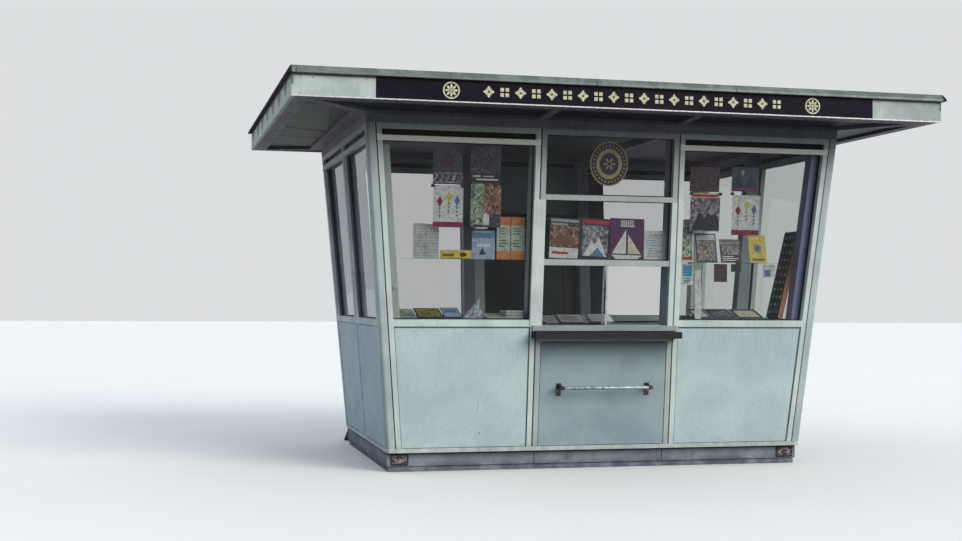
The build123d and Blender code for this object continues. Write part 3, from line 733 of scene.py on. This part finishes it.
class Card:
    """A flat printed thing. Motifs are laid on it in layers, placed in percent of its width and height."""

    layer_step = 0.0005

    def __init__(self, piece, corner, along, up, width, height, thickness, coat):
        self.piece, self.corner, self.along, self.up = piece, Vector(corner), along, up
        self.width, self.height = width, height
        self.out = along.cross(up).normalized()
        piece.bar(self.corner - self.out * thickness, along * width, up * height, self.out * thickness, coat)

    def patch(self, points, coat, layer=0):
        """A shape given by its corners' places, across and up by turns."""
        spots = [self.corner + self.along * (u / 100 * self.width) + self.up * (v / 100 * self.height)
                 + self.out * (layer * self.layer_step) for u, v in zip(points[::2], points[1::2])]
        self.piece.prism(spots, self.out * self.layer_step, coat)
        return self

    def box(self, u0, v0, u1, v1, coat, layer=0):
        return self.patch((u0, v0, u1, v0, u1, v1, u0, v1), coat, layer)

    def disc(self, u, v, radius, coat, layer=0, steps=20, squeeze=1.0):
        tall = radius * self.width / self.height * squeeze
        turns = [2 * math.pi * n / steps for n in range(steps)]
        points = [place for t in turns for place in (u + math.cos(t) * radius, v + math.sin(t) * tall)]
        return self.patch(points, coat, layer)

    def rows(self, u0, v0, u1, v1, count, coat, layer=0):
        """Short bars in rows, like lines of print seen from afar."""
        step = (v1 - v0) / count
        for n in range(count):
            low = v0 + n * step
            end = u0 + (u1 - u0) * dice.uniform(0.6, 1.0)
            self.box(u0, low + step * 0.25, end, low + step * 0.7, coat, layer)
        return self


dice = random.Random(7)
cream = paper(214, 208, 176)
white = paper(214, 218, 214)
black = paper(24, 22, 30)
charcoal = paper(44, 42, 52)
grey = paper(126, 130, 136)
crimson = paper(132, 34, 70)
maroon = paper(64, 36, 48)
scarlet = paper(176, 44, 54)
turquoise = paper(70, 152, 172)
steel_blue = paper(84, 124, 158)
navy = paper(44, 52, 84)
haze = paper(150, 170, 188)
orange = paper(196, 120, 66)
yellow = paper(206, 190, 74)
moss = paper(96, 120, 84)
mint = paper(166, 184, 168)
brown = paper(112, 80, 60)
plum = paper(78, 40, 82)
slate = paper(78, 84, 98)
newsprint = paper(160, 168, 158)
dim_picture = picture("dim", (38, 36, 46), (60, 58, 68), (96, 92, 98), 22)
wine_picture = picture("wine", (34, 22, 30), (60, 36, 46), (92, 72, 78), 26)
grey_picture = picture("grey", (62, 64, 72), (112, 116, 120), (164, 168, 168), 16)
warm_picture = picture("warm", (58, 40, 40), (132, 92, 72), (178, 158, 132), 20)
green_picture = picture("green", (64, 84, 74), (126, 146, 124), (188, 196, 180), 18)
tile_picture = picture("tile", (40, 40, 54), (110, 108, 112), (176, 168, 150), 34)
leafy_picture = picture("leafy", (30, 30, 34), (100, 116, 62), (196, 180, 84), 30)
veil = thin_paper()

# Trim and fastenings. The bays are the windows' openings, as wall, ends and levels.
window_bays = []
for wall, inner_edge in ((front, mullion_place + half_gap + stile), (rear, mullion_place + half_gap + stile),
                         (left, half_gap + stile), (right, half_gap + stile)):
    window_bays.append((wall, None, -inner_edge, sill_top, light_bar_level))
    window_bays.append((wall, inner_edge, None, sill_top, light_bar_level))
centre_edge = mullion_place - half_gap - stile
window_bays.append((front, -centre_edge, centre_edge, shelf_bar_top, transom_level))
window_bays.append((front, -centre_edge, centre_edge, transom_top, vent_top))


def glazing_beads():
    piece = Piece("glazing_beads")
    for wall, start, end, low, high in window_bays:
        for setback in (glass_setback, glass_back + 0.006):
            borders = [[wall.spot(u, z, -setback) for u, z in wall.opening(start, end, low, high, margin)]
                       for margin in (0.0004, 0.007)]
            piece.loop(*borders, wall.out * 0.006, gasket)
    piece.done()


def pane_edges():
    """Metal channels on the free edges of the sliding panes."""
    piece = Piece("pane_edges")
    low, high = hatch_level + 0.001, shelf_bar_level - 0.001
    for edge, outer, inner in ((0.015, 0.0215, 0.0285), (-0.005, 0.0415, 0.0485)):
        piece.bar(front.spot(edge - 0.012, low, -inner), front.right * 0.0135, front.up * (high - low) * front.tilt,
                  front.out * (inner - outer), pane_metal)
    piece.done()


def joint_fillers():
    """Painted filler in the joints at the roof's corners."""
    piece = Piece("fascia_joint_fillers")
    joint_width, joint_depth = 0.0034, 0.023
    for side_x in (-1, 1):
        for side_y in (-1, 1):
            start = (side_x * (fascia_end - 0.0282), side_y * (fascia_front - 0.0006), fascia_level + 0.001)
            piece.bar(start, (side_x * joint_width, 0, 0), (0, -side_y * joint_depth, 0),
                      (0, 0, roof_edge_level - fascia_level - 0.002), finishes["fascia_boards"])
    piece.done()


def window_board():
    """A dark board fixed inside the rear window that is farther right."""
    piece = Piece("rear_window_board")
    coat = planks("window_board", (30, 27, 37), (22, 20, 28), (12, 11, 15), 0.05)
    width, rise, thickness = 0.181, 1.36, 0.0079
    piece.bar(rear.spot(-0.781, 1.10, -0.078), rear.right * width, rear.up * (rise * rear.tilt),
              rear.out * thickness, coat)
    piece.done()


def screw_heads():
    """Screws in the rail's brackets, the fascia boards and the plinth's corner plates."""
    piece = Piece("screw_heads")
    bracket_x, fascia_radius = 0.352, 0.0045
    for side in (-1, 1):
        for level in (0.612, 0.594):
            spot = front.spot(side * bracket_x, level, 0.002)
            piece.screw(spot + front.right * side * 0.009, front.out, 0.005, screw_metal)
    forward = Vector((0, -1, 0))
    for side in (-1, 1):
        for x, z in ((2.395, 2.780), (2.395, 2.672), (2.310, 2.780)):
            piece.screw(Vector((side * x, -fascia_front, z)), forward, fascia_radius, screw_metal)
            piece.screw(Vector((side * x, fascia_front, z)), -forward, fascia_radius, screw_metal)
        outward = Vector((side, 0, 0))
        place = -fascia_front + fascia_first_joint
        while place < fascia_front:
            for shift in (-0.030, 0.027):
                for z in (2.672, 2.785):
                    piece.screw(Vector((side * fascia_end, place + shift, z)), outward, fascia_radius, screw_metal)
            place += fascia_pitch
    for side_x in (-1, 1):
        for side_y in (-1, 1):
            middle = Vector((side_x * (body_width / 2 - 0.103), side_y * (body_depth / 2 - 0.042), 0.0935))
            for u in (-0.042, 0.042):
                for rise in (-0.020, 0.020):
                    piece.screw(middle + Vector((u, 0, rise)), Vector((0, side_y, 0)), 0.006, rust)
    piece.done()


# Printed goods. Their covers carry plain shapes only.
sheet_setback, clip_setback = 0.0585, 0.0565


def hung(piece, x0, z0, x1, z1, coat):
    """A sheet flat behind the front glass."""
    corner = front.spot(x0, z0, -sheet_setback)
    return Card(piece, corner, front.right, front.up, x1 - x0, (z1 - z0) * front.tilt, 0.001, coat)


def stood(piece, x0, x1, z1, coat, y=-1.118, level=1.5835, lean=0.0, swing=0.0, thickness=0.003):
    """A magazine on its lower edge: lean tips its head towards the glass, swing turns it to the right."""
    along = Vector((math.cos(swing), 0, -math.sin(swing)))
    upright = Vector((math.sin(swing), -lean, math.cos(swing))).normalized()
    height = (z1 - level) * math.hypot(1, lean)
    rise = max(0.0, (x1 - x0) * math.sin(swing))
    return Card(piece, Vector((x0, y, level + rise)), along, upright, x1 - x0, height - rise, thickness, coat)


def kite_poster(card):
    """Three kites with tails over a coloured foot band."""
    card.box(0, 0, 100, 13, crimson)
    kites = ((22, 62, crimson, turquoise), (52, 74, yellow, grey), (80, 64, steel_blue, steel_blue))
    for u, v, top, tail in kites:
        card.patch((u - 10, v, u, v - 15, u + 10, v, u, v + 12), top)
        for n in range(3):
            low = v - 20 - n * 9
            card.patch((u - 5, low + 3, u, low, u + 5, low + 3, u, low + 6), tail, 1)
        card.box(u - 0.8, v - 42, u + 0.8, v - 14, grey)


def left_goods():
    piece = Piece("left_window_goods")
    card = hung(piece, -1.356, 2.216, -1.131, 2.387, dim_picture)
    card.disc(45, 48, 27, maroon, steps=6).disc(45, 48, 12, charcoal, 1, steps=6)
    card = hung(piece, -1.353, 2.125, -1.127, 2.212, grey_picture)
    for u in (10, 30, 50, 70):
        card.patch((u, 20, u + 6, 20, u + 16, 85, u + 10, 85), charcoal)
    card.box(0, 0, 100, 10, maroon, 1)
    kite_poster(hung(piece, -1.347, 1.809, -1.121, 2.117, white))
    card = hung(piece, -1.073, 2.146, -0.841, 2.414, dim_picture).box(0, 0, 100, 24, black)
    card.box(8, 14, 34, 19, white, 1).box(42, 15, 80, 18, white, 1).box(20, 5, 92, 10, white, 1)
    card = hung(piece, -1.064, 1.815, -0.831, 2.143, dim_picture).box(0, 5, 42, 98, green_picture)
    card.box(42, 30, 100, 98, warm_picture).box(42, 5, 62, 30, white).disc(72, 62, 13, brown, 1)
    hung(piece, -1.02, 1.803, -0.93, 1.813, white)
    card = stood(piece, -1.036, -0.860, 1.800, haze).box(0, 90, 100, 100, turquoise).box(0, 72, 100, 90, steel_blue)
    card.box(8, 92.5, 80, 96.5, white, 1).box(22, 44, 78, 52, white).patch((30, 16, 60, 16, 45, 40), charcoal, 1)
    for shift in (0, 0.112):
        card = stood(piece, -0.846 + shift, -0.736 + shift, 1.903, mint)
        card.box(0, 80, 100, 100, orange).box(0, 0, 100, 20, orange)
        card.rows(15, 58, 85, 76, 3, moss).rows(15, 28, 85, 48, 3, moss).box(96, 0, 100, 100, brown, 1)
    card = stood(piece, -1.269, -1.038, 1.649, yellow, thickness=0.03).box(5, 28, 42, 60, brown)
    card.disc(72, 50, 12, maroon, squeeze=0.6).box(2, 5, 98, 10, black)
    stood(piece, -1.482, -1.380, 1.843, veil, y=-1.120, thickness=0.0008)
    stood(piece, -1.392, -1.287, 1.838, veil, y=-1.112, thickness=0.0008)
    hung(piece, -1.625, 1.352, -1.597, 1.376, white)
    piece.done()


def right_goods():
    piece = Piece("right_window_goods")
    hung(piece, 0.664, 2.120, 0.908, 2.308, wine_picture).box(6, 80, 94, 94, maroon)
    card = hung(piece, 0.675, 1.817, 0.920, 2.109, grey_picture)
    card.box(0, 88, 100, 100, cream).box(6, 90, 94, 97, scarlet, 1)
    card.patch((6, 2, 98, 2, 98, 30, 72, 66, 50, 34, 30, 50), charcoal)
    card.patch((60, 50, 72, 66, 84, 49, 72, 42), newsprint, 1).disc(22, 74, 7, newsprint)
    card = hung(piece, 1.010, 2.129, 1.238, 2.317, slate)
    card.patch((0, 14, 24, 80, 44, 14), navy).patch((46, 14, 72, 72, 96, 14), navy)
    card.patch((32, 86, 40, 60, 48, 86), newsprint, 1).box(0, 0, 100, 9, crimson, 1)
    kite_poster(hung(piece, 1.023, 1.792, 1.252, 2.102, white))
    card = stood(piece, 0.623, 0.729, 1.914, white)
    card.box(10, 10, 90, 82, green_picture).box(0, 0, 12, 92, moss, 1).box(15, 5, 92, 12, scarlet, 1)
    card = stood(piece, 0.760, 0.932, 1.809, charcoal, lean=-0.22)
    card.box(5, 78, 95, 96, white).box(6, 6, 94, 76, tile_picture).box(28, 22, 52, 60, warm_picture, 1)
    card = stood(piece, 0.962, 1.137, 1.767, charcoal, lean=-0.25)
    card.box(0, 78, 100, 100, newsprint).box(8, 34, 92, 74, tile_picture).rows(8, 6, 92, 30, 3, white)
    card = stood(piece, 1.206, 1.353, 1.805, yellow, lean=-0.25).disc(52, 52, 24, grey).disc(52, 52, 13, slate, 1)
    card.box(12, 86, 62, 92, cream).box(15, 8, 85, 16, brown)
    stood(piece, 0.910, 1.019, 1.572, wine_picture, -1.100, 1.432).box(30, 0, 38, 100, maroon)
    stood(piece, 1.053, 1.137, 1.572, charcoal, -1.100, 1.512)
    stood(piece, 1.324, 1.427, 1.572, white, -1.100, 1.468).box(10, 10, 60, 60, steel_blue)
    card = stood(piece, 0.643, 0.735, 1.572, white, -1.100, 1.406)
    card.box(10, 40, 90, 92, turquoise).rows(10, 8, 90, 36, 3, steel_blue)
    stood(piece, 0.751, 0.802, 1.523, white, -1.100, 1.1375)
    piece.done()


def centre_goods():
    piece = Piece("centre_shelf_goods")
    level = shelf_bar_top + 0.0005
    card = stood(piece, -0.447, -0.212, 1.909, dim_picture, -1.130, level, swing=0.05)
    card.box(3, 91, 97, 97, newsprint).box(6, 82, 60, 87, newsprint).box(2, 30, 98, 80, warm_picture)
    card.patch((6, 34, 94, 34, 62, 72, 48, 56, 32, 66), brown, 1)
    card.box(2, 2, 98, 28, white, 1).box(10, 12, 66, 18, scarlet, 2)
    card = stood(piece, -0.209, 0.040, 1.914, charcoal, -1.124, level, swing=0.05)
    card.box(8, 86, 95, 95, scarlet).box(10, 8, 92, 82, grey_picture)
    card.patch((14, 8, 90, 8, 64, 54, 50, 36, 40, 46), white, 1).patch((34, 8, 82, 8, 60, 30), steel_blue, 2)
    card = stood(piece, 0.041, 0.316, 1.912, plum, -1.130, level, swing=0.015)
    for n in range(6):
        card.box(32 + n * 6.5, 82, 35.5 + n * 6.5, 96, white)
    card.box(30, 80, 72, 84, white).patch((6, 16, 47, 16, 47, 74), white).patch((53, 16, 90, 16, 53, 62), cream)
    card.patch((16, 3, 80, 3, 94, 13, 4, 13), white)
    stood(piece, 0.320, 0.494, 1.820, white, -1.130, level).rows(10, 12, 90, 90, 9, haze)
    piece.done()


def clips():
    """Spring clips with wire handles at the heads of the posters."""
    piece = Piece("poster_clips")
    spots = ((-1.352, 2.114), (-1.126, 2.114), (-1.069, 2.142), (-0.836, 2.142),
             (0.918, 2.106), (1.018, 2.112), (1.246, 2.114), (0.680, 2.106))
    for x, z in spots:
        foot = front.spot(x, z, -clip_setback)
        profile = [(-0.016, -0.012), (0.016, -0.012), (0.012, 0.010), (-0.012, 0.010)]
        outline = [foot + front.right * u + front.up * v for u, v in profile]
        piece.prism(outline, front.out * 0.003, black)
        for side in (-1, 1):
            start = foot + front.right * side * 0.008 + front.up * 0.010
            tip = front.right * side * 0.006 + front.up * 0.020
            piece.bar(start, tip, front.right * 0.002, front.out * 0.002, screw_metal)
    piece.done()


def laid(piece, x0, x1, level, coat, cover, y=-1.088, rise=0.075, skew=0.0, stack=0.012):
    """A magazine lying with its far edge raised on others."""
    depth = 0.20
    along = Vector((x1 - x0, skew, 0)).normalized()
    upward = Vector((-skew, depth, rise)).normalized()
    card = Card(piece, (x0, y, level + stack), along, upward, x1 - x0, math.hypot(depth, rise), 0.004, coat)
    card.box(6, 6, 94, 94, cover)
    piece.bar((x0 + 0.004, y + depth * 0.45, level), (x1 - x0 - 0.008, 0, 0), (0, depth * 0.5, 0), (0, 0, rise * 0.42),
              newsprint)
    return card


def counter_goods():
    piece = Piece("counter_goods")
    level = 1.1372
    laid(piece, -1.589, -1.443, level, haze, green_picture, rise=0.060)
    laid(piece, -1.436, -1.240, level, charcoal, leafy_picture, rise=0.066)
    laid(piece, -1.232, -1.096, level, slate, haze, rise=0.070).box(15, 50, 85, 80, steel_blue, 1)
    laid(piece, -0.902, -0.770, level, cream, newsprint, rise=0.030)
    for n in range(6):
        shift = dice.uniform(-0.004, 0.004)
        low = level + n * 0.011
        piece.bar((-0.762 + shift, -1.085, low), (0.134, 0, 0), (0, 0.19, 0), (0, 0, 0.0085),
                  white if n % 2 else newsprint)
        for spot in range(7):
            start = (-0.756 + shift + spot * 0.018, -1.0856, low + 0.003)
            piece.bar(start, (0.008, 0, 0), (0, 0.001, 0), (0, 0, 0.003), grey)
    for x0, x1, cover in ((0.765, 0.900, white), (0.907, 1.110, grey_picture), (1.120, 1.345, cream)):
        laid(piece, x0, x1, level, grey, charcoal, rise=0.070).box(12, 14, 88, 82, cover, 1)
    sheets = ((-0.444, -0.250, 0.012, 0.03), (-0.330, -0.130, 0.020, -0.02), (-0.200, 0.000, 0.014, 0.05),
              (-0.090, 0.092, 0.024, -0.03))
    for x0, x1, stack, skew in sheets:
        card = laid(piece, x0, x1, 1.0973, newsprint, white, y=-1.075, rise=0.055, skew=skew, stack=stack)
        card.rows(12, 15, 88, 85, 6, grey, 1)
    piece.done()


def crumpled_bag():
    """A thin plastic bag set down in a heap on the left counter."""
    piece = Piece("crumpled_bag")
    index = piece.index(bag_film())
    steps, levels = 22, 9
    rings = []
    for share in [level / (levels - 1) for level in range(levels)]:
        ring = []
        for turn in [2 * math.pi * n / steps for n in range(steps)]:
            fold = (1 + 0.18 * math.sin(5 * turn + 9 * share) + 0.12 * math.sin(9 * turn - 6 * share)
                    + 0.10 * math.sin(2 * turn + 3 * share))
            radius = (1 - share) ** 1.15 * fold + 0.02
            ring.append(piece.mesh.verts.new((-1.003 + 0.058 * share ** 1.4 + math.cos(turn) * 0.074 * radius,
                                              -0.995 + math.sin(turn) * 0.068 * radius,
                                              1.1376 + 0.145 * share * (1 + 0.10 * math.sin(3 * turn + 1)))))
        rings.append(ring)
    faces = []
    for lower, upper in zip(rings, rings[1:]):
        for n in range(steps):
            after = (n + 1) % steps
            faces.append((lower[n], lower[after], upper[after], upper[n]))
    for corners in faces + [rings[0][::-1], rings[-1]]:
        piece.mesh.faces.new(corners).material_index = index
    piece.done()


def leaning_board():
    """A black board with rows of light bars, held off the right-hand window by a cleat at its head."""
    piece = Piece("leaning_board")
    foot, head = Vector((1.434, 0, 1.1375)), Vector((1.606, 0, 1.850))
    along = (head - foot).normalized()
    out = Vector((-along.z, 0, along.x))
    grain = planks("board_edge", (238, 178, 118), (204, 148, 96), (160, 116, 80), 0.05)
    length = (head - foot).length
    foot_gap, thickness = 0.025, 0.040
    depth = Vector((0, 0.21, 0))
    corner = foot + Vector((0, -1.050, 0)) - out * 0.076
    piece.bar(corner + along * foot_gap, along * (length - foot_gap), depth, out * thickness, grain)
    cleat = corner + along * (length - 0.030) + Vector((0, 0.090, 0))
    piece.bar(cleat, along * 0.025, (0, 0.030, 0), (right.spot(0, 1.80, -glass_back).x - cleat.x, 0, 0), charcoal)
    face = corner + out * thickness + along * foot_gap
    piece.bar(face, along * (length - foot_gap), depth, out * 0.002, black)
    face = face + out * 0.002
    pitch = length / 12
    for n in range(11):
        row = face + along * (pitch * (n + 0.6))
        for k in range(3):
            piece.bar(row + Vector((0, 0.020 + k * 0.064, 0)), along * (pitch * 0.35),
                      (0, dice.uniform(0.024, 0.042), 0), out * 0.001, (haze, grey, white)[(n + k) % 3])
    piece.done()


def sign_ornament():
    """A frieze of plain ornaments and two rosettes in place of lettering."""
    piece = Piece("sign_ornament")
    proud, along, up = Vector((0, -0.004, 0)), Vector((1, 0, 0)), Vector((0, 0, 1))
    paint = paper(208, 204, 168)
    first, last, count = -1.085, 1.097, 20
    for n in range(count):
        centre = Vector((first + n * (last - first) / (count - 1), -fascia_front, 2.7315))
        rings = ((4, 45, 0.026, 0.018, 0.018, 4),) if n % 2 else ((4, 0, 0.023, 0.017, 0.011, 12),
                                                                  (4, 45, 0.020, 0.010, 0.005, 8))
        for ring in rings:
            piece.petals(centre, along, up, proud, paint, *ring)
    for x in (-1.352, 1.386):
        centre = Vector((x, -fascia_front, 2.731))
        piece.loop(circle(centre, along, up, 0.060, 36), circle(centre, along, up, 0.050, 36), proud, paint)
        piece.petals(centre, along, up, proud, paint, 8, 0, 0.029, 0.017, 0.008, 12)
        piece.prism(circle(centre, along, up, 0.009, 16), proud, paint)
    piece.done()


def pane_emblem():
    """A plain oval emblem on the upper centre pane."""
    piece = Piece("pane_emblem")
    middle = front.spot(0.0, 2.309, -glass_setback + 0.001)
    half_width, half_height = 0.150, 0.168
    thin = front.out * 0.0012
    gold, ink, pale = paper(146, 134, 88), paper(24, 26, 42), paper(138, 128, 90)
    ovals = ((1.0, 0, 1, gold), (0.95, 1, 0.5, ink), (0.68, 1.5, 0.5, pale), (0.50, 2, 0.5, ink))
    for share, layer, thickness, coat in ovals:
        points = circle(middle + thin * layer, front.right, front.up, half_width * share, 48, half_height * share)
        piece.prism(points, thin * thickness, coat)
    for turn in [2 * math.pi * n / 28 for n in range(28)]:
        spot = middle + thin * 1.5 + front.right * math.cos(turn) * half_width * 0.81
        spot = spot + front.up * math.sin(turn) * half_height * 0.81
        outward = (front.right * math.cos(turn) + front.up * math.sin(turn)).normalized()
        side = outward.cross(front.out)
        piece.bar(spot - outward * 0.008 - side * 0.004, outward * 0.016, side * 0.008, thin * 0.4, gold)
    piece.petals(middle + thin * 2.5, front.right, front.up, thin * 0.5, pale, 6, 0, 0.030, 0.018, 0.008, 12)
    piece.done()


for make in (glazing_beads, pane_edges, joint_fillers, window_board, screw_heads, left_goods, right_goods, centre_goods,
             clips, counter_goods, crumpled_bag, leaning_board, sign_ornament, pane_emblem):
    make()

# The camera, where the photograph was taken from
camera_place = Vector((-3.385, -10.992, 1.296))
camera_yaw, camera_pitch, camera_roll = -0.2403, 0.0200, 0.0068
focal_pixels, image_width, sensor = 1363.6, 962, 36
look = Vector((-math.sin(camera_yaw) * math.cos(camera_pitch),
               math.cos(camera_yaw) * math.cos(camera_pitch), math.sin(camera_pitch)))
level_right = Vector((math.cos(camera_yaw), math.sin(camera_yaw), 0))
level_up = level_right.cross(look)
camera_right = level_right * math.cos(camera_roll) + level_up * math.sin(camera_roll)
camera_up = level_up * math.cos(camera_roll) - level_right * math.sin(camera_roll)
camera_data = bpy.data.cameras.new("camera")
camera_data.sensor_width = sensor
camera_data.lens = focal_pixels * sensor / image_width
camera = bpy.data.objects.new("camera", camera_data)
camera.matrix_world = Matrix.Translation(camera_place) @ Matrix(
    (camera_right, camera_up, -look)).transposed().to_4x4()
bpy.context.scene.collection.objects.link(camera)
bpy.context.scene.camera = camera

# Soft studio light: a sky that brightens upward, and a broad low lamp from the front right
floor_data = bpy.data.meshes.new("studio_floor")
far = 60
floor_data.from_pydata([(-far, -far, 0), (far, -far, 0), (far, far, 0), (-far, far, 0)], [], [(0, 1, 2, 3)])
floor_data.materials.append(floor_paint().material)
studio_floor = bpy.data.objects.new("studio_floor", floor_data)
bpy.context.scene.collection.objects.link(studio_floor)

world = bpy.data.worlds.new("studio")
bpy.context.scene.world = world
world.use_nodes = True
sky = Nodes(world.node_tree)
sky_light = sky.tree.nodes["Background"]
sky.plug(sky_light.inputs["Color"], (0.80, 0.92, 1.06))
height = sky.node("SeparateXYZ", {0: sky.node("TexCoord", output="Generated")}, 2)
sky.plug(sky_light.inputs["Strength"], sky.span(height, 0.0, 0.65, 0.10, 1.20))
backdrop = sky.node("Background", {"Color": (0.72, 0.74, 0.75), "Strength": 1.0})
shown = sky.node("MixShader", {0: sky.seen(), 1: sky_light.outputs[0], 2: backdrop})
sky.plug(sky.tree.nodes["World Output"].inputs["Surface"], shown)

lamp_data = bpy.data.lights.new("sun", "SUN")
lamp_data.energy = 2.65
lamp_data.angle = math.radians(38)
lamp_data.color = (1.0, 0.965, 0.90)
lamp = bpy.data.objects.new("sun", lamp_data)
lamp_azimuth, lamp_height = math.radians(35), math.radians(27)
towards_lamp = Vector((math.sin(lamp_azimuth) * math.cos(lamp_height),
                       -math.cos(lamp_azimuth) * math.cos(lamp_height), math.sin(lamp_height)))
lamp.rotation_euler = (-towards_lamp).to_track_quat("-Z", "Y").to_euler()
bpy.context.scene.collection.objects.link(lamp)

bpy.context.scene.view_settings.view_transform = "Standard"
